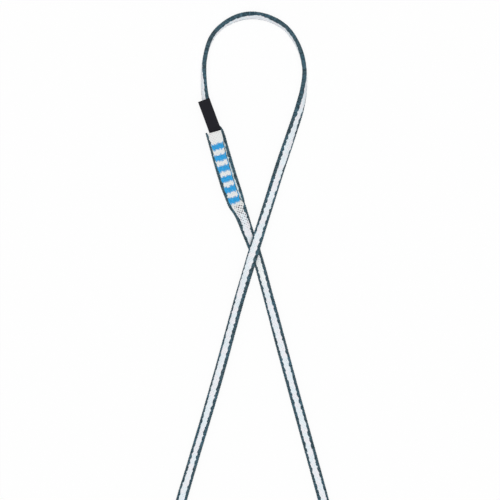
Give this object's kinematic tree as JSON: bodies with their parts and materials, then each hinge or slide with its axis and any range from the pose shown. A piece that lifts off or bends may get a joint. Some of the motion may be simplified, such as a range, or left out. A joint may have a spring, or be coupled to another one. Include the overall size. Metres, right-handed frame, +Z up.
{
  "type": "sewn webbing sling",
  "caption": "Narrow sewn sling of white polyethylene webbing with coloured selvedges, laid as a slack figure of eight, with bar-tacked splice and a folded label that lifts.",
  "frame": {"origin": "centre of the laid sling's outline, on the ground it lies on", "axes": "+Z up from the ground; +Y along the sling's length, from the large lobe to the small one; +X to the right, seen from above with +Y away"},
  "size_m": [0.1442, 0.525, 0.0091],
  "materials": {
    "core_webbing": "white flat-woven polyethylene filament, faint sheen",
    "selvedge_webbing": "dyed teal woven filament yarn",
    "sewing_thread": "bright blue filament sewing thread",
    "label_ribbon": "black woven ribbon"
  },
  "bodies": {
    "sling": {"webbing_core": "core_webbing", "selvedge_left": "selvedge_webbing", "selvedge_right": "selvedge_webbing", "bar_tack_1": "sewing_thread", "bar_tack_2": "sewing_thread", "bar_tack_3": "sewing_thread", "bar_tack_4": "sewing_thread", "bar_tack_5": "sewing_thread", "bar_tack_6": "sewing_thread", "label_root": "label_ribbon"},
    "label": {"label_flap": "label_ribbon"}
  },
  "joints": [
    {"name": "label_lift", "type": "hinge", "parent": "sling", "child": "label", "pos_m": [-0.03031, 0.1702, 0.0042], "axis": [0.9379, 0.347, 0], "range_deg": [0, 80]}
  ]
}
